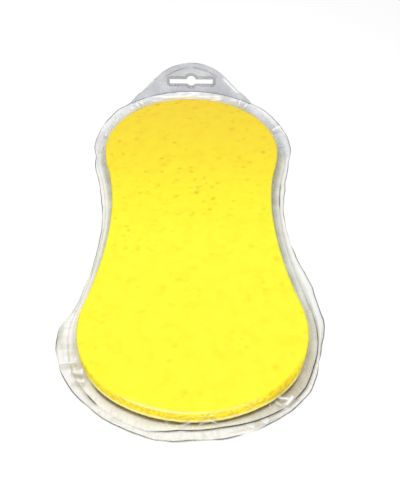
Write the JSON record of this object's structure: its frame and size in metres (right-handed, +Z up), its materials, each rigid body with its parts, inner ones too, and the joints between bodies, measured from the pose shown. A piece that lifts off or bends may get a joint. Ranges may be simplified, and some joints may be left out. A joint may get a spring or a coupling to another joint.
{
  "type": "foam sponge in a hanging film pouch",
  "caption": "Flat hourglass foam sponge for washing or wiping, sealed in a clear welded film pouch with a bending hang tab.",
  "frame": {"origin": "on the pouch's base face, under the middle of the sponge's waist", "axes": "+Y along the sponge towards the hang tab, +Z up out of the sponge's front face, +X across"},
  "size_m": [0.118, 0.2491, 0.0209],
  "materials": {
    "foam": "matte open-cell foam",
    "front_film": "clear glossy film",
    "back_film": "clear glossy film",
    "weld": "welded bead, semi-clear",
    "crease": "semi-clear crease",
    "embossing": "semi-clear raised film"
  },
  "bodies": {
    "pouch": {"sponge": "foam", "front_film": "front_film", "back_film": "back_film", "perimeter_weld": "weld", "neck_crease": "crease"},
    "hang_tab": {"tab_front_ply": "front_film", "tab_back_ply": "back_film", "slot_rim": "embossing", "arch_rib": "embossing"}
  },
  "joints": [
    {"name": "tab_flex", "type": "hinge", "parent": "pouch", "child": "hang_tab", "pos_m": [0, 0.117, 0.0073], "axis": [1, 0, 0], "range_deg": [-45, 60], "stiffness_Nm_per_rad": 0.003}
  ]
}
